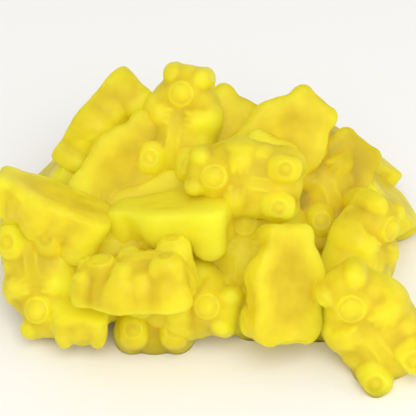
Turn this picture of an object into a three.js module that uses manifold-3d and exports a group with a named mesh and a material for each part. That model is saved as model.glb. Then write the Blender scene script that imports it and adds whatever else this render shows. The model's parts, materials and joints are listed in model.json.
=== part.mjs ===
import * as THREE from "three";
import { mergeVertices } from "three/addons/utils/BufferGeometryUtils.js";
import Module from "manifold-3d";

// A loose heap of gummy bears, lying as it fell, as one solid: a mound core with the bears fused on.
// Millimetres, +Z up, +X along the heap's width and +Y to its back. The origin is on the flat underside.

const wasm = await Module();
wasm.setup();

// One bear in its own frame: X toward its head, Y to its left, Z out of its belly, its flat back at Z = 0.
// Its outline runs round a circle for each ear, arm and thigh; the feet and the snout stand out of the front.
const THICKNESS = 8.8;
const EAR = { at: [8.1, 2.7], radius: 2.2, from: 35, to: 130, points: 3 };
const ARM = { at: [1.4, 4.0], radius: 3.2, from: 60, to: 120, points: 2 };
const THIGH = { at: [-6.6, 3.6], radius: 3.7, from: 70, to: 190, points: 3 };
const CROWN = 9.6; // how far the middle of the head's top reaches
const SEAT = -9.6; // and the notch between the thighs
const FRONT = { height: 7.1, slope: 2.8, inset: 1.5 };
const FOOT = { at: [-6.5, 3.4], radii: [3.2, 2.6], base: 3.4, top: 8.7, taper: 0.8, sides: 6 };
const SNOUT = { at: [5.2, 0], radii: [3, 3.2], base: 5, top: 7.7, taper: 0.7, sides: 6 };

// The mound under the bears.
const CORE = { at: [0, 1], radii: [25, 20], height: 21, sides: 18, rings: 12 };

// Where each bear's middle lies, how it is turned in degrees, and its size against the usual one.
const BEARS = [
  { at: [-17, 9, 22], heading: -138, pitch: -32, roll: -107, size: 1 },
  { at: [-5, 4.5, 27], heading: 73, pitch: 54, roll: 5, size: 0.99 },
  { at: [6, -9.5, 26], heading: 172, pitch: 6, roll: -57, size: 0.96 },
  { at: [-14.5, 1.5, 19.5], heading: 43, pitch: 39, roll: -136, size: 1 },
  { at: [-5.5, -12.5, 18.5], heading: 170, pitch: -11, roll: -159, size: 1 },
  { at: [-12, -23.5, 18], heading: 174, pitch: -8, roll: 15, size: 0.98 },
  { at: [-26.5, -11, 19], heading: 165, pitch: 15, roll: -155, size: 1.03 },
  { at: [-28, -17.5, 11.5], heading: -80, pitch: -50, roll: 25, size: 1 },
  { at: [11.5, -21.5, 14], heading: 87, pitch: 55, roll: -147, size: 0.97 },
  { at: [27, -12, 12], heading: 60, pitch: 45, roll: 70, size: 1 },
  { at: [26.5, -26.5, 8.5], heading: 149, pitch: 48, roll: -57, size: 1.07 },
  { at: [-4.5, -21, 10.5], heading: -18, pitch: -8, roll: 47, size: 0.97 },
  { at: [-9, -18, 8], heading: 90, pitch: 40, roll: 0, size: 0.97 },
  { at: [5, 9, 19], heading: 135, pitch: 40, roll: 150, size: 1 },
  { at: [12.5, 5.5, 22], heading: 35, pitch: 35, roll: -140, size: 1 },
  { at: [20.5, 2, 15], heading: 40, pitch: 35, roll: -145, size: 1 },
  { at: [20, 1.5, 17.5], heading: 123, pitch: 45, roll: -25, size: 1 },
  { at: [6, -12.5, 12.5], heading: 85, pitch: 50, roll: 0, size: 1 },
  { at: [7.5, -3, 18.5], heading: 55, pitch: 45, roll: -155, size: 0.97 },
  { at: [-27, -2, 9.5], heading: 50, pitch: 30, roll: 120, size: 1 },
  { at: [-6.5, -3, 13.5], heading: 15, pitch: 15, roll: -130, size: 1 },
  { at: [-14, -13, 15], heading: 5, pitch: 10, roll: 50, size: 1 },
  { at: [-21, -17, 5.5], heading: -90, pitch: 0, roll: 180, size: 1 },
  { at: [11.5, -16.5, 5.5], heading: 180, pitch: 0, roll: 90, size: 1 },
  { at: [-28, 6.5, 8], heading: 180, pitch: -50, roll: -165, size: 1 },
  { at: [-14, 24.5, 8.5], heading: -150, pitch: 0, roll: 50, size: 1 },
  { at: [2, 25.5, 7.5], heading: 80, pitch: -25, roll: 170, size: 1 },
  { at: [23, 22, 7], heading: -30, pitch: -10, roll: -50, size: 1 },
  { at: [29, 5, 8.5], heading: 35, pitch: -50, roll: -165, size: 1 },
  { at: [-16.5, 11, 17.5], heading: -150, pitch: -31, roll: 48, size: 1 },
  { at: [-2, 19, 13], heading: -175, pitch: 0, roll: -135, size: 1 },
  { at: [12, 16.5, 13], heading: 95, pitch: -35, roll: 25, size: 1 },
  { at: [24, 13, 12], heading: 5, pitch: -40, roll: 160, size: 1 },
  { at: [26.5, -4, 4.5], heading: 80, pitch: 5, roll: 15, size: 1 },
];

// A geometry as a solid that can be joined or cut.
function solid(geometry) {
  const bare = geometry.clone();
  bare.deleteAttribute("normal");
  bare.deleteAttribute("uv");
  const merged = mergeVertices(bare, 1e-5);
  const index = merged.index.array;
  const faces = [];
  for (let i = 0; i < index.length; i += 3) {
    const [a, b, c] = [index[i], index[i + 1], index[i + 2]];
    if (a !== b && b !== c && c !== a) faces.push(a, b, c);
  }
  return new wasm.Manifold(
    new wasm.Mesh({
      numProp: 3,
      vertProperties: merged.attributes.position.array,
      triVerts: new Uint32Array(faces),
    }),
  );
}

// A solid as a geometry again.
function geometryOf(body) {
  const mesh = body.getMesh();
  const count = mesh.vertProperties.length / mesh.numProp;
  const points = new Float32Array(count * 3);
  for (let i = 0; i < count; i += 1) {
    points.set(mesh.vertProperties.subarray(i * mesh.numProp, i * mesh.numProp + 3), i * 3);
  }
  const geometry = new THREE.BufferGeometry();
  geometry.setAttribute("position", new THREE.BufferAttribute(points, 3));
  geometry.setIndex(new THREE.BufferAttribute(mesh.triVerts, 1));
  return geometry;
}

// Points on the circle of one limb, left of the outline; the angles count from the head's direction.
function limb(part) {
  const points = [];
  for (let i = 0; i < part.points; i += 1) {
    const share = i / (part.points - 1);
    const angle = THREE.MathUtils.degToRad(THREE.MathUtils.lerp(part.from, part.to, share));
    const x = part.at[0] + part.radius * Math.cos(angle);
    const y = part.at[1] + part.radius * Math.sin(angle);
    points.push(new THREE.Vector2(x, y));
  }
  return points;
}

// The bear seen from the front, counter-clockwise from the top of its head.
function outline() {
  const left = [...limb(EAR), ...limb(ARM), ...limb(THIGH)];
  const right = left.map((p) => new THREE.Vector2(p.x, -p.y)).reverse();
  return new THREE.Shape([new THREE.Vector2(CROWN, 0), ...left, new THREE.Vector2(SEAT, 0), ...right]);
}

// A blunt stub that stands out of the front: a foot or the snout.
function stub(part, side = 1) {
  const height = part.top - part.base;
  return new THREE.CylinderGeometry(part.taper, 1, height, part.sides)
    .rotateX(Math.PI / 2)
    .scale(part.radii[0], part.radii[1], 1)
    .translate(part.at[0], part.at[1] * side, part.base + height / 2);
}

// One bear with its middle at the origin.
function bear() {
  const plate = new THREE.ExtrudeGeometry(outline(), {
    depth: FRONT.height - FRONT.slope,
    bevelThickness: FRONT.slope,
    bevelSize: FRONT.inset,
    bevelOffset: -FRONT.inset,
    bevelSegments: 1,
    curveSegments: 1,
  });
  const mould = solid(new THREE.BoxGeometry(60, 60, 40).translate(0, 0, 20));
  let body = solid(plate).intersect(mould).add(solid(stub(SNOUT)));
  for (const side of [-1, 1]) body = body.add(solid(stub(FOOT, side)));
  return geometryOf(body).translate(0, 0, -THICKNESS / 2);
}

// The same bear, laid at its place in the heap.
function laid(geometry, place) {
  const turn = new THREE.Euler(
    THREE.MathUtils.degToRad(place.roll),
    THREE.MathUtils.degToRad(-place.pitch),
    THREE.MathUtils.degToRad(place.heading),
    "ZYX",
  );
  const where = new THREE.Matrix4().compose(
    new THREE.Vector3(...place.at),
    new THREE.Quaternion().setFromEuler(turn),
    new THREE.Vector3(place.size, place.size, place.size),
  );
  return solid(geometry.clone().applyMatrix4(where));
}

// The mound: the upper half of a flattened ball.
function mound() {
  const whole = new THREE.SphereGeometry(1, CORE.sides, CORE.rings)
    .rotateX(Math.PI / 2)
    .scale(CORE.radii[0], CORE.radii[1], CORE.height)
    .translate(CORE.at[0], CORE.at[1], 0);
  return solid(whole);
}

function heap() {
  const one = bear();
  let body = mound();
  for (const place of BEARS) body = body.add(laid(one, place));
  const above = solid(new THREE.BoxGeometry(200, 200, 100).translate(0, 0, 50));
  const cut = body.intersect(above);
  const pieces = cut.decompose().sort((a, b) => b.volume() - a.volume());
  return geometryOf(pieces[0]);
}

const gummy = new THREE.MeshStandardMaterial({ color: 0xe8d22f, roughness: 0.5 });
const bears = new THREE.Mesh(heap(), gummy);
bears.name = "gummy_bears";

const group = new THREE.Group();
group.name = "heap_of_gummy_bears";
group.add(bears);

export default group;
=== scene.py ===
"""A loose heap of gummy bears on a plain floor, laid out as a Blender add-on."""

import json
import math
import random

import bpy
import numpy as np
from bpy.props import FloatProperty, FloatVectorProperty, IntProperty, PointerProperty
from bpy.types import Operator, Panel, PropertyGroup
from mathutils import Euler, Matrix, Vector
from mathutils.bvhtree import BVHTree

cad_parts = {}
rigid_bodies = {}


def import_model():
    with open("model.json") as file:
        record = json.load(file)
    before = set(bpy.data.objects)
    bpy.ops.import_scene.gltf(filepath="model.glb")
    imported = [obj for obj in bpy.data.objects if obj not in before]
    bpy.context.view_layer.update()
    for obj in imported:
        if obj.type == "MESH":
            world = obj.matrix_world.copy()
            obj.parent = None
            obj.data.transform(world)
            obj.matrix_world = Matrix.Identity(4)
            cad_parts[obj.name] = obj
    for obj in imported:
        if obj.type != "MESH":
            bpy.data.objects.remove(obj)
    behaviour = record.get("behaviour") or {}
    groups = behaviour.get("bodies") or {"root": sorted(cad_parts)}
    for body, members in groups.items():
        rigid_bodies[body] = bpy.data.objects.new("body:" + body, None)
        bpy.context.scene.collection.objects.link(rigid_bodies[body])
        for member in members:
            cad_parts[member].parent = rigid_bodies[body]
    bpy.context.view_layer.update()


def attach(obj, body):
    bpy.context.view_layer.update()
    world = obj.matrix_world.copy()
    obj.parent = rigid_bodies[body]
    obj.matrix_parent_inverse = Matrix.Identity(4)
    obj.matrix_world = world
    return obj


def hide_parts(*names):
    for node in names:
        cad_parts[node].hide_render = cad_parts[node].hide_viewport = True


bl_info = {
    "name": "Gummy bears",
    "version": (1, 0, 0),
    "blender": (4, 5, 0),
    "location": "View3D > Sidebar > Gummy bears",
    "description": "A loose heap of translucent gelatine bears",
    "category": "Object",
}

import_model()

MM = 0.001
NODE = "gummy_bears"
BODY = "root"

# One bear in its own frame, in millimetres: X toward its head, Y to its left, Z out of its belly,
# with its flat back at Z = 0.
THICKNESS = 8.8
# The lumps on the middle line of the body: the middle and the radii of each.
MIDDLE_LUMPS = {
    "torso": ((-1.8, 0, 1.85), (8.4, 6.6, 5.75)),
    "head": ((5.9, 0, 1.9), (4.5, 4.3, 5.0)),
    "snout": ((5.2, 0, 5.04), (2.9, 3.1, 2.87)),
    "neck": ((4.3, 0, 1.85), (3.4, 5.7, 4.9)),
    "shoulder plate": ((3.8, 0, 0.76), (4.6, 6.5, 2.02)),
    "hip plate": ((-2.8, 0, 0.76), (5, 7, 2.18)),
}
# These stand on both sides, and are given for the bear's left.
SIDE_LUMPS = {
    "ear": ((8.3, 2.75, 2.2), (2.1, 1.85, 4.8)),
    "ear plate": ((8.2, 2.75, 0.67), (2.5, 2.15, 1.43)),
    "shoulder": ((1.3, 4.8, 1.68), (3.6, 2.5, 5.15)),
    "shoulder edge": ((1.3, 4.7, 0.67), (3.9, 2.8, 1.43)),
    "flank": ((-2.4, 4.2, 1.68), (3.4, 2.6, 4.9)),
    "flank edge": ((-2.4, 4.2, 0.67), (3.6, 2.9, 1.43)),
    "paw": ((1.1, 3.2, 6.05), (2.1, 2.2, 1.7)),
    "thigh": ((-6.2, 3.8, 1.68), (3.9, 3.1, 5.35)),
    "thigh edge": ((-6.2, 3.8, 0.67), (4.3, 3.5, 1.43)),
}
# The fine marks that the mould leaves on the softened body.
MIDDLE_MARKS = {
    "nose": ((5.6, 0, 7.55), (0.8, 1.0, 0.55)),
}
SIDE_MARKS = {
    "lower finger": ((-0.05, 1.9, 6.75), (0.55, 0.95, 0.85)),
    "middle finger": ((1, 1.9, 6.75), (0.55, 0.95, 0.85)),
    "upper finger": ((2.05, 1.9, 6.75), (0.55, 0.95, 0.85)),
    "belly seam": ((-2.6, 1, 7.14), (2.4, 0.26, 0.6)),
    "sole dot": ((-6.5, 3.4, 8.55), (0.6, 0.6, 0.4)),
    "eye": ((7.3, 2.0, 5.85), (0.6, 0.6, 0.6)),
}
PAW_TURN = 0.3  # radians about Z, the other way on the right
# A foot is a rounded block: its middle, its size and the radius of its edges.
FOOT = ((-6.5, 3.4, 5.8), (5.9, 4.6, 5.9), 1.8)
# A ring: its middle, its radius and the radius of its bead.
SNOUT_RING = ((5.2, 0, 7.2), 2.05, 0.24)
SOLE_RING = ((-6.5, 3.4, 8.5), 1.5, 0.36)
# These are cut out of the body: the middle and the radii of each.
EAR_HOLLOW = ((8.7, 2.8, 7.7), (1.2, 1.15, 1.6))
BACK_DISH = ((-0.5, 0, -0.5), (7.5, 5.0, 0.9))
# What is cut off behind the back: middle and size.
BEHIND_BACK = ((0, 0, -20), (60, 40, 40))
# The round edge of the back: how high it reaches, and how often it is smoothed.
BACK_EDGE = (1.8, 45)

# Where each bear's middle lies in millimetres, its heading, pitch and roll in degrees, its size,
# and how deep its colour is: 0 adds nothing, 1 adds the whole of the look's share for it, and below 0 is
# lighter.
# This depth is partly tone that differs from bear to bear and partly painted shade: the bears at the back
# are set deeper, and a few that lie in dim places lighter, as painted light.
BEARS = [
    ((-17, 9, 22), -138, -32, -107, 1, 0.5),
    ((-5, 4.5, 27), 73, 54, 5, 0.99, 0.35),
    ((6, -9.5, 26), 172, 6, -57, 0.96, 0.35),
    ((-14.5, 1.5, 19.5), 43, 39, -136, 1, 0.5),
    ((-5.5, -12.5, 18.5), 170, -11, -159, 1, -0.5),
    ((-12, -23.5, 18), 174, -8, 15, 0.98, 0.45),
    ((-26.5, -11, 19), 165, 15, -155, 1.03, 0.2),
    ((-28, -17.5, 11.5), -80, -50, 25, 1, 0.3),
    ((11.5, -21.5, 14), 87, 55, -147, 0.97, 0.55),
    ((27, -12, 12), 60, 45, 70, 1, 0.6),
    ((26.5, -26.5, 8.5), 149, 48, -57, 1.07, 0.3),
    ((-4.5, -21, 10.5), -18, -8, 47, 0.97, 0.4),
    ((-9, -18, 8), 90, 40, 0, 0.97, 0.95),
    ((5, 9, 19), 135, 40, 150, 1, 1.1),
    ((12.5, 5.5, 22), 35, 35, -140, 1, 0.8),
    ((20.5, 2, 15), 40, 35, -145, 1, 1.8),
    ((20, 1.5, 17.5), 123, 45, -25, 1, 1.2),
    ((6, -12.5, 12.5), 85, 50, 0, 1, 0.3),
    ((7.5, -3, 18.5), 55, 45, -155, 0.97, 1),
    ((-27, -2, 9.5), 50, 30, 120, 1, 0.4),
    ((-6.5, -3, 13.5), 15, 15, -130, 1, 0.5),
    ((-14, -13, 15), 5, 10, 50, 1, 0.4),
    ((-21, -17, 5.5), -90, 0, 180, 1, 0.4),
    ((11.5, -16.5, 5.5), 180, 0, 90, 1, 0.7),
    ((-28, 6.5, 8), 180, -50, -165, 1, 0.4),
    ((-14, 24.5, 8.5), -150, 0, 50, 1, 0.3),
    ((2, 25.5, 7.5), 80, -25, 170, 1, 0.5),
    ((23, 22, 7), -30, -10, -50, 1, 0.2),
    ((29, 5, 8.5), 35, -50, -165, 1, 0.6),
    ((-16.5, 11, 17.5), -150, -31, 48, 1, 0.6),
    ((-2, 19, 13), -175, 0, -135, 1, 0.2),
    ((12, 16.5, 13), 95, -35, 25, 1, 0.4),
    ((24, 13, 12), 5, -40, 160, 1, 0.7),
    ((26.5, -4, 4.5), 80, 5, 15, 1, 0.5),
]

# The seed of the small differences between the bears.
SEED = 7
# The mound that the bears lie on: middle, radii and height in millimetres.
MOUND = ((0, 1), (25, 20), 21)
# What is cut off below the floor: middle and size in millimetres.
BELOW_FLOOR = ((0, 0, -20), (200, 200, 40))
# Edges sharper than this stay sharp in the shading.
CREASE_ANGLE = math.radians(50)

# How the gum around a vertex is looked for: the number of directions, how far from the skin each starts
# and how far it reaches in millimetres, and the least cosine to the vertex's facing that counts.
SHELTER_WAYS = 24
SHELTER_START = 0.1
SHELTER_REACH = 12
SHELTER_LEAST = 0.2
# How far under the skin the thickness is measured from, in millimetres.
THICKNESS_START = 0.02
# How often values are averaged over neighbouring vertices.
FORM_PASSES = 14
RELIEF_PASSES = 1
THICKNESS_PASSES = 8
SHELTER_PASSES = 6
SEAM_PASSES = 12

# The lights: the place and the size of each in metres, and its power in watts.
LIGHTS = {
    "Key light": ((0.05, -0.6, 0.8), 0.7, 6.3),
    "Side light": ((0.8, -0.3, 0.25), 0.6, 1.4),
}
ROOM_LIGHT = 0.6
FLOOR_SIZE = 6.0  # metres
SENSOR_WIDTH = 36.0  # millimetres
NEAREST = 0.01  # metres from the camera


def linear(hex_colour):
    """An sRGB hex colour as the linear values that a shader takes."""
    values = [int(hex_colour[i : i + 2], 16) / 255 for i in (1, 3, 5)]
    return tuple(v / 12.92 if v <= 0.04045 else ((v + 0.055) / 1.055) ** 2.4 for v in values)


def millimetres(values):
    return [v * MM for v in values]


class GummyBearSizes(PropertyGroup):
    """Sizes of the moulded bear."""

    grain: FloatProperty(
        name="Mould grain",
        description="Finest form that the mould keeps",
        default=0.2 * MM,
        unit="LENGTH",
    )
    melt: IntProperty(
        name="Melt",
        description="How often the body is smoothed, as the starch mould softens it",
        default=42,
    )
    wear: IntProperty(
        name="Wear",
        description="How often the fine marks are smoothed",
        default=6,
    )
    faces: IntProperty(
        name="Faces of a bear",
        description="Triangles kept for each bear",
        default=8400,
    )
    bend: FloatProperty(
        name="Bend",
        description="Largest bend of a bear",
        default=math.radians(5),
        subtype="ANGLE",
        unit="ROTATION",
    )
    twist: FloatProperty(
        name="Twist",
        description="Largest twist of a bear",
        default=math.radians(4),
        subtype="ANGLE",
        unit="ROTATION",
    )
    uneven: FloatProperty(
        name="Uneven",
        description="Largest difference of a bear's width or thickness from the mould",
        default=0.03,
        subtype="FACTOR",
    )


class GummyLook(PropertyGroup):
    """Colours of the gelatine gum."""

    lemon: FloatVectorProperty(
        name="Thin gum",
        description="Colour where the gum is thin",
        default=linear("#FEE934"),
        subtype="COLOR",
    )
    amber: FloatVectorProperty(
        name="Thick gum",
        description="Colour where the gum is thick",
        default=linear("#C8B01A"),
        subtype="COLOR",
    )
    bright: FloatProperty(
        name="Brightness",
        description="Share of the thin gum's colour that all of it has",
        default=0.45,
        subtype="FACTOR",
    )
    # partly the gum's own depth of colour, partly painted glow: thin gum is painted lighter where light
    # shines through it
    thick_share: FloatProperty(
        name="Depth of thick gum",
        description="How much deeper the colour of thick gum is",
        default=0.3,
        subtype="FACTOR",
    )
    # painted light and shade: rims and ridges are painted brighter and creases darker
    rim_glow_crease_shade_share: FloatProperty(
        name="Glow of the rims",
        description="How much brighter rims and ridges are than creases",
        default=0.32,
        subtype="FACTOR",
    )
    cloud_share: FloatProperty(
        name="Clouds",
        description="How uneven the gum is inside",
        default=0.42,
        subtype="FACTOR",
    )
    # partly each bear's own tone, partly painted shade that darkens the bears at the back
    tone_and_shade_share: FloatProperty(
        name="Depth of a bear's colour",
        description="How much one bear's colour differs from the next",
        default=0.5,
        subtype="FACTOR",
    )
    # painted light: the sheltered gaps between the bears are painted brighter
    glow_share: FloatProperty(
        name="Glow of the gaps",
        description="How much the light from neighbouring bears brightens the gaps",
        default=1.1,
        subtype="FACTOR",
    )
    roughness: FloatProperty(
        name="Roughness",
        description="How matt the starch-dusted skin is",
        default=0.5,
        subtype="FACTOR",
    )


class StageLook(PropertyGroup):
    """The camera, the floor and the light."""

    elevation: FloatProperty(
        name="Camera elevation",
        description="How far the camera looks down",
        default=math.radians(40),
        subtype="ANGLE",
        unit="ROTATION",
    )
    distance: FloatProperty(
        name="Camera distance",
        description="From the heap to the camera",
        default=0.3,
        unit="LENGTH",
    )
    target_height: FloatProperty(
        name="Target height",
        description="Height that the camera looks at",
        default=12 * MM,
        unit="LENGTH",
    )
    frame_width: FloatProperty(
        name="Frame width",
        description="Width of the view at the target",
        default=72.35 * MM,
        unit="LENGTH",
    )
    floor: FloatVectorProperty(
        name="Floor",
        description="Colour of the floor",
        default=linear("#F4F3F0"),
        subtype="COLOR",
    )


def deselect():
    if bpy.context.object and bpy.context.object.mode != "OBJECT":
        bpy.ops.object.mode_set(mode="OBJECT")
    bpy.ops.object.select_all(action="DESELECT")


def pick(piece):
    """Makes one piece the only one selected, and the active one."""
    deselect()
    piece.select_set(True)
    bpy.context.view_layer.objects.active = piece


def settle(piece):
    """Puts a piece's place, turn and size into its mesh."""
    pick(piece)
    bpy.ops.object.transform_apply(location=True, rotation=True, scale=True)
    return piece


def ball(middle, radii, turn=0.0):
    deselect()
    bpy.ops.mesh.primitive_uv_sphere_add(
        segments=32,
        ring_count=16,
        radius=1.0,
        location=millimetres(middle),
        rotation=(0, 0, turn),
        scale=millimetres(radii),
    )
    return settle(bpy.context.object)


def block(middle, size, edge=0.0):
    deselect()
    bpy.ops.mesh.primitive_cube_add(size=1.0, location=millimetres(middle), scale=millimetres(size))
    piece = settle(bpy.context.object)
    if edge:
        bpy.ops.object.mode_set(mode="EDIT")
        bpy.ops.mesh.select_all(action="SELECT")
        bpy.ops.mesh.bevel(offset=edge * MM, segments=5, affect="EDGES")
        bpy.ops.object.mode_set(mode="OBJECT")
    return piece


def bead(middle, radius, thickness):
    deselect()
    bpy.ops.mesh.primitive_torus_add(
        location=millimetres(middle),
        major_radius=radius * MM,
        minor_radius=thickness * MM,
        major_segments=28,
        minor_segments=10,
    )
    return settle(bpy.context.object)


def join(pieces):
    deselect()
    for piece in pieces:
        piece.select_set(True)
    bpy.context.view_layer.objects.active = pieces[0]
    bpy.ops.object.join()
    return bpy.context.object


def finish_with(piece, kind, **settings):
    """Adds a modifier and applies it."""
    pick(piece)
    modifier = piece.modifiers.new(kind.lower(), kind)
    for name, value in settings.items():
        setattr(modifier, name, value)
    bpy.ops.object.modifier_apply(modifier=modifier.name)


def open_with(piece, indices):
    """Opens a piece in edit mode with only these vertices selected."""
    pick(piece)
    bpy.ops.object.mode_set(mode="EDIT")
    bpy.ops.mesh.select_mode(type="VERT")
    bpy.ops.mesh.select_all(action="DESELECT")
    bpy.ops.object.mode_set(mode="OBJECT")
    for index in indices:
        piece.data.vertices[index].select = True
    bpy.ops.object.mode_set(mode="EDIT")


def cut(piece, tool, solver="EXACT"):
    finish_with(piece, "BOOLEAN", operation="DIFFERENCE", object=tool, solver=solver)
    bpy.data.objects.remove(tool)


def keep_values(mesh, name, values):
    """Stores one value for each vertex, for the material to read."""
    mesh.attributes.new(name, "FLOAT", "POINT").data.foreach_set("value", values)


def neighbours(mesh):
    """Both ends of every edge, each way round."""
    ends = np.empty(len(mesh.edges) * 2, int)
    mesh.edges.foreach_get("vertices", ends)
    return np.concatenate((ends[0::2], ends[1::2])), np.concatenate((ends[1::2], ends[0::2]))


def evened(values, mesh, times):
    """Averages values over each vertex's neighbours, some times."""
    here, there = neighbours(mesh)
    number = np.bincount(here, minlength=len(values))
    for _ in range(times):
        columns = [np.bincount(here, column[there], len(values)) / number for column in values.T]
        values = np.stack(columns, axis=1)
    return values


def skin_of(mesh):
    """Each vertex's place and facing, and a tree that rays can be cast against."""
    places = np.empty((len(mesh.vertices), 3))
    mesh.vertices.foreach_get("co", places.ravel())
    facing = np.empty_like(places)
    mesh.vertices.foreach_get("normal", facing.ravel())
    tree = BVHTree.FromPolygons(places.tolist(), [face.vertices[:] for face in mesh.polygons])
    return places, facing, tree


def read_gum(mesh):
    """Works out how thick the gum is under each vertex, and how far the vertex stands out.

    Both are in millimetres, and a vertex that lies in a hollow stands out by less than 0.
    """
    places, facing, tree = skin_of(mesh)
    form = evened(places, mesh, FORM_PASSES)
    stands_out = ((places - form) * facing).sum(axis=1, keepdims=True) / MM
    through = []
    for place, way in zip(places, facing):
        inside = Vector(place - way * THICKNESS_START * MM)
        distance = tree.ray_cast(inside, Vector(-way))[3]
        through.append([(distance or 0) / MM])
    keep_values(mesh, "stands_out", evened(stands_out, mesh, RELIEF_PASSES).ravel())
    keep_values(mesh, "thickness", evened(np.array(through), mesh, THICKNESS_PASSES).ravel())


def shelter_ways():
    """Directions spread evenly over a ball, along a spiral."""
    ways = []
    for i in range(SHELTER_WAYS):
        up = 1 - (2 * i + 1) / SHELTER_WAYS
        turn = i * math.pi * (3 - math.sqrt(5))
        flat = math.sqrt(1 - up * up)
        ways.append((flat * math.cos(turn), flat * math.sin(turn), up))
    return ways


def read_shelter(mesh):
    """Works out which share of what each vertex faces is other gum close by."""
    places, facing, tree = skin_of(mesh)
    ways = shelter_ways()
    share = (facing @ np.array(ways).T).clip(0)
    share[share < SHELTER_LEAST] = 0
    hidden = np.zeros((len(places), 1))
    for i, (place, way) in enumerate(zip(places, facing)):
        start = Vector(place + way * SHELTER_START * MM)
        for j in np.flatnonzero(share[i]):
            if tree.ray_cast(start, Vector(ways[j]), SHELTER_REACH * MM)[0]:
                hidden[i] += share[i, j]
    hidden /= share.sum(axis=1, keepdims=True)
    keep_values(mesh, "shelter", evened(hidden, mesh, SHELTER_PASSES).ravel())


def fill_values(mesh, names, tell):
    """Gives the vertices that the joining made their neighbours' values, and returns which they are.

    The attribute called tell is 0 at those vertices.
    """
    here, there = neighbours(mesh)
    columns = {name: np.empty(len(mesh.vertices)) for name in names}
    for name, column in columns.items():
        mesh.attributes[name].data.foreach_get("value", column)
    known = columns[tell] > 0
    made = ~known
    while not known.all():
        number = np.bincount(here, known[there], len(known))
        ready = ~known & (number > 0)
        if not ready.any():
            break
        for column in columns.values():
            total = np.bincount(here, (column * known)[there], len(known))
            column[ready] = total[ready] / number[ready]
        known |= ready
    for name, column in columns.items():
        mesh.attributes[name].data.foreach_set("value", column)
    return made


def even_seams(mesh, names, made):
    """Averages values along the seams where bears meet, which the joining made."""
    here, there = neighbours(mesh)
    both = made[here] & made[there]
    here, there = here[both], there[both]
    number = np.bincount(here, minlength=len(made))
    seam = number > 0
    for name in names:
        column = np.empty(len(made))
        mesh.attributes[name].data.foreach_get("value", column)
        for _ in range(SEAM_PASSES):
            column[seam] = np.bincount(here, column[there], len(made))[seam] / number[seam]
        mesh.attributes[name].data.foreach_set("value", column)


def grow_together(base, pieces):
    """Joins the pieces to the base as one closed skin, and drops what is sealed inside."""
    group = bpy.data.collections.new("laid")
    for piece in pieces:
        group.objects.link(piece)
    finish_with(
        base,
        "BOOLEAN",
        operation="UNION",
        operand_type="COLLECTION",
        collection=group,
        solver="MANIFOLD",
    )
    for piece in pieces:
        bpy.data.objects.remove(piece)
    bpy.data.collections.remove(group)
    cut(base, block(*BELOW_FLOOR), "MANIFOLD")
    # the outer skin holds the highest point; every other shell is a hollow or a scrap
    top = max(base.data.vertices, key=lambda vertex: vertex.co.z)
    open_with(base, [top.index])
    bpy.ops.mesh.select_linked()
    bpy.ops.mesh.select_all(action="INVERT")
    bpy.ops.mesh.delete(type="VERT")
    bpy.ops.object.mode_set(mode="OBJECT")


def mirrored(place, side):
    return (place[0], place[1] * side, place[2])


def lumps_of(middle_ones, side_ones):
    pieces = [ball(*lump) for lump in middle_ones.values()]
    for side in (-1, 1):
        for name, (middle, radii) in side_ones.items():
            turn = PAW_TURN * side if name == "paw" else 0.0
            pieces.append(ball(mirrored(middle, side), radii, turn))
    return pieces


def soften(piece, height, times):
    """Smooths the part of a piece below a height."""
    open_with(piece, [v.index for v in piece.data.vertices if v.co.z < height * MM])
    bpy.ops.mesh.vertices_smooth(factor=0.5, repeat=times)
    bpy.ops.object.mode_set(mode="OBJECT")


def mould(sizes):
    """One bear as it comes out of its starch mould, lying on its back."""
    lumps = lumps_of(MIDDLE_LUMPS, SIDE_LUMPS)
    for side in (-1, 1):
        middle, size, edge = FOOT
        lumps.append(block(mirrored(middle, side), size, edge))
    bear = join(lumps)
    bear.name = "moulded_bear"
    finish_with(bear, "REMESH", mode="VOXEL", voxel_size=sizes.grain, adaptivity=0)
    middle, radii = EAR_HOLLOW
    tools = [ball(mirrored(middle, side), radii) for side in (-1, 1)]
    tools.append(block(*BEHIND_BACK))
    cut(bear, join(tools))
    cut(bear, ball(*BACK_DISH))
    finish_with(bear, "REMESH", mode="VOXEL", voxel_size=sizes.grain, adaptivity=0)
    # the back's edge is round, as the syrup draws in there
    soften(bear, *BACK_EDGE)
    finish_with(bear, "SMOOTH", factor=0.5, iterations=sizes.melt)
    marks = lumps_of(MIDDLE_MARKS, SIDE_MARKS)
    marks.append(bead(*SNOUT_RING))
    for side in (-1, 1):
        middle, radius, thickness = SOLE_RING
        marks.append(bead(mirrored(middle, side), radius, thickness))
    bear = join([bear, *marks])
    finish_with(bear, "REMESH", mode="VOXEL", voxel_size=sizes.grain, adaptivity=0)
    finish_with(bear, "SMOOTH", factor=0.5, iterations=sizes.wear)
    triangles = sum(len(face.vertices) - 2 for face in bear.data.polygons)
    finish_with(bear, "DECIMATE", ratio=sizes.faces / triangles)
    pick(bear)
    bpy.ops.object.shade_smooth()
    bear.location = (0, 0, -THICKNESS / 2 * MM)
    settle(bear)
    read_gum(bear.data)
    return bear


def copy_of(piece):
    other = piece.copy()
    other.data = piece.data.copy()
    bpy.context.scene.collection.objects.link(other)
    return other


def add_node(tree, kind, links=(), **settings):
    """Adds a node with its settings, and links (its input, another node's output) pairs."""
    node = tree.nodes.new(kind)
    for name, value in settings.items():
        if hasattr(node, name):
            setattr(node, name, value)
        else:
            node.inputs[name.replace("_", " ")].default_value = value
    for name, output in links:
        tree.links.new(node.inputs[name], output)
    return node


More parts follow.
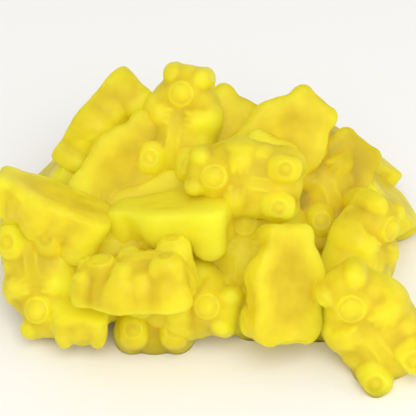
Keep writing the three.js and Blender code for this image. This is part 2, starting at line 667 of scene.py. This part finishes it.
def gelatine_gum(name, look):
    """Gelatine and glucose gum cast in starch.

    Red and green light go about 10 mm into it and blue less than 2 mm, so it glows yellow, and the starch
    leaves its skin matt.
    """
    material = bpy.data.materials.new(name)
    material.use_nodes = True
    tree = material.node_tree
    tree.nodes.clear()
    place = add_node(tree, "ShaderNodeTexCoord").outputs["Object"]
    thickness, stands_out, depth, shelter = (
        add_node(tree, "ShaderNodeAttribute", attribute_name=attribute).outputs["Fac"]
        for attribute in ("thickness", "stands_out", "depth", "shelter")
    )
    # painted glow: gum of 3 mm lets most light through and is painted lightest, and of 10 mm the least
    # and is painted deepest; this is partly the gum's own depth of colour and partly painted light
    thick = add_node(tree, "ShaderNodeMapRange", [("Value", thickness)], From_Min=3.0, From_Max=10.0)
    # painted light and shade: the sharp rims are painted brighter, and the creases between the limbs are
    # painted deeper, as shade
    painted_rim_and_crease = add_node(tree, "ShaderNodeMapRange", [("Value", stands_out)], From_Min=-0.12, From_Max=0.22)
    # clouds of 5 mm, the size of a limb, where the syrup set unevenly
    clouds = add_node(tree, "ShaderNodeTexNoise", [("Vector", place)], Scale=200.0, Detail=2.0)
    cloud = clouds.outputs["Fac"]
    mist = add_node(tree, "ShaderNodeMapRange", [("Value", cloud)], From_Min=0.3, From_Max=0.7)
    parts = (
        (thick.outputs["Result"], -look.thick_share),
        (painted_rim_and_crease.outputs["Result"], look.rim_glow_crease_shade_share),
        (mist.outputs["Result"], look.cloud_share),
        # each bear's depth: partly its own tone, partly painted shade on the bears at the back
        (depth, -look.tone_and_shade_share),
        # painted light: the sheltered gaps between bears are painted brighter, standing in for light
        # passed on by the neighbours
        (shelter, look.glow_share),
    )
    total = None
    for value, share in parts:
        links = [(0, value)] + ([(2, total)] if total else [])
        term = add_node(tree, "ShaderNodeMath", links, operation="MULTIPLY_ADD")
        term.inputs[1].default_value = share
        if not total:
            term.inputs[2].default_value = look.bright
        total = term.outputs["Value"]
    shade = add_node(tree, "ShaderNodeMix", [("Factor", total)], data_type="RGBA")
    shade.inputs["A"].default_value = (*look.amber, 1)
    shade.inputs["B"].default_value = (*look.lemon, 1)
    # the starch's grain, 0.25 mm, and the dents of 2 mm that it leaves
    grain = add_node(tree, "ShaderNodeTexNoise", [("Vector", place)], Scale=4000.0, Detail=3.0)
    dents = add_node(tree, "ShaderNodeTexNoise", [("Vector", place)], Scale=500.0, Detail=3.0)
    soft = add_node(
        tree,
        "ShaderNodeBump",
        [("Height", dents.outputs["Fac"])],
        Strength=0.45,
        Distance=0.3 * MM,
    )
    fine = add_node(
        tree,
        "ShaderNodeBump",
        [("Height", grain.outputs["Fac"]), ("Normal", soft.outputs["Normal"])],
        Strength=0.2,
        Distance=0.03 * MM,
    )
    shader = add_node(
        tree,
        "ShaderNodeBsdfPrincipled",
        [("Base Color", shade.outputs["Result"]), ("Normal", fine.outputs["Normal"])],
        subsurface_method="RANDOM_WALK",
    )
    shader.inputs["Roughness"].default_value = look.roughness
    shader.inputs["IOR"].default_value = 1.42
    shader.inputs["Specular IOR Level"].default_value = 0.22
    shader.inputs["Subsurface Weight"].default_value = 1.0
    shader.inputs["Subsurface Radius"].default_value = (10.0, 9.0, 1.8)
    shader.inputs["Subsurface Scale"].default_value = MM
    shader.inputs["Transmission Weight"].default_value = 0.1
    add_node(tree, "ShaderNodeOutputMaterial", [("Surface", shader.outputs["BSDF"])])
    return material


class HEAP_OT_gummy_bears(Operator):
    """Moulds one bear and lays its copies in the heap"""

    bl_idname = "heap.gummy_bears"
    bl_label = "Gummy bears"

    def execute(self, context):
        sizes = context.scene.gummy_bear_sizes
        look = context.scene.gummy_look
        bear = mould(sizes)
        chance = random.Random(SEED)
        laid = []
        for at, heading, pitch, roll, size, depth in BEARS:
            other = copy_of(bear)
            # each bear's depth of colour, partly painted shade
            keep_values(other.data, "depth", [depth] * len(other.data.vertices))
            for method, most in (("BEND", sizes.bend), ("TWIST", sizes.twist)):
                finish_with(
                    other,
                    "SIMPLE_DEFORM",
                    deform_method=method,
                    deform_axis="X" if method == "TWIST" else "Y",
                    angle=chance.uniform(-most, most),
                )
            width = size * (1 + chance.uniform(-sizes.uneven, sizes.uneven))
            thick = size * (1 + chance.uniform(-sizes.uneven, sizes.uneven))
            other.scale = (size, width, thick)
            other.rotation_euler = Euler([math.radians(a) for a in (roll, -pitch, heading)], "XYZ")
            other.location = millimetres(at)
            laid.append(settle(other))
        bpy.data.objects.remove(bear)
        (x, y), (wide, deep), high = MOUND
        heap = ball((x, y, 0), (wide, deep, high))
        heap.name = "loose_bears"
        grow_together(heap, laid)
        names = ("thickness", "stands_out", "depth")
        seams = fill_values(heap.data, names, "thickness")
        # how sheltered each vertex is, which the gum's colour uses as painted light in the gaps
        read_shelter(heap.data)
        even_seams(heap.data, (*names, "shelter"), seams)
        heap.data.materials.clear()
        heap.data.materials.append(gelatine_gum("Starch-cast gelatine gum", look))
        pick(heap)
        bpy.ops.object.shade_smooth_by_angle(angle=CREASE_ANGLE)
        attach(heap, BODY)
        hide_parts(NODE)
        return {"FINISHED"}


class HEAP_OT_stage(Operator):
    """Sets up the floor, the soft light and the camera"""

    bl_idname = "heap.stage"
    bl_label = "Stage"

    def execute(self, context):
        look = context.scene.heap_stage
        deselect()
        bpy.ops.mesh.primitive_plane_add(size=FLOOR_SIZE, location=(0, 0, 0))
        floor = bpy.context.object
        floor.name = "floor"
        card = bpy.data.materials.new("Matt white card")
        card.use_nodes = True
        shader = card.node_tree.nodes["Principled BSDF"]
        shader.inputs["Base Color"].default_value = (*look.floor, 1)
        shader.inputs["Roughness"].default_value = 0.9
        floor.data.materials.append(card)
        world = bpy.data.worlds.new("Soft room")
        context.scene.world = world
        world.use_nodes = True
        sky = world.node_tree.nodes["Background"]
        sky.inputs["Color"].default_value = (1, 1, 1, 1)
        sky.inputs["Strength"].default_value = ROOM_LIGHT
        aim = Vector((0, 0, look.target_height))
        for name, (place, size, power) in LIGHTS.items():
            light = bpy.data.lights.new(name, "AREA")
            light.energy = power
            light.size = size
            lamp = bpy.data.objects.new(name, light)
            context.scene.collection.objects.link(lamp)
            lamp.location = place
            lamp.rotation_euler = (Vector(place) - aim).to_track_quat("Z", "Y").to_euler()
        camera = bpy.data.cameras.new("Camera")
        camera.sensor_width = SENSOR_WIDTH
        camera.lens = SENSOR_WIDTH * look.distance / look.frame_width
        camera.clip_start = NEAREST
        viewer = bpy.data.objects.new("Camera", camera)
        context.scene.collection.objects.link(viewer)
        back = Vector((0, -math.cos(look.elevation), math.sin(look.elevation)))
        viewer.location = aim + back * look.distance
        viewer.rotation_euler = back.to_track_quat("Z", "Y").to_euler()
        context.scene.camera = viewer
        context.scene.view_settings.view_transform = "Standard"
        return {"FINISHED"}


class HEAP_PT_panel(Panel):
    """Shows the heap's settings and the buttons that build it"""

    bl_idname = "HEAP_PT_panel"
    bl_label = "Gummy bears"
    bl_space_type = "VIEW_3D"
    bl_region_type = "UI"
    bl_category = "Gummy bears"

    def draw(self, context):
        layout = self.layout
        for group in ("gummy_bear_sizes", "gummy_look", "heap_stage"):
            settings = getattr(context.scene, group)
            box = layout.box()
            for name in settings.__annotations__:
                box.prop(settings, name)
        for operator in OPERATORS:
            layout.operator(operator.bl_idname)


OPERATORS = (HEAP_OT_gummy_bears, HEAP_OT_stage)
GROUPS = {
    "gummy_bear_sizes": GummyBearSizes,
    "gummy_look": GummyLook,
    "heap_stage": StageLook,
}
CLASSES = (*GROUPS.values(), *OPERATORS, HEAP_PT_panel)


def register():
    for cls in CLASSES:
        bpy.utils.register_class(cls)
    for name, group in GROUPS.items():
        setattr(bpy.types.Scene, name, PointerProperty(type=group))


def unregister():
    for name in GROUPS:
        delattr(bpy.types.Scene, name)
    for cls in reversed(CLASSES):
        bpy.utils.unregister_class(cls)


def main():
    register()
    bpy.ops.heap.gummy_bears()
    bpy.ops.heap.stage()


if __name__ == "__main__":
    main()
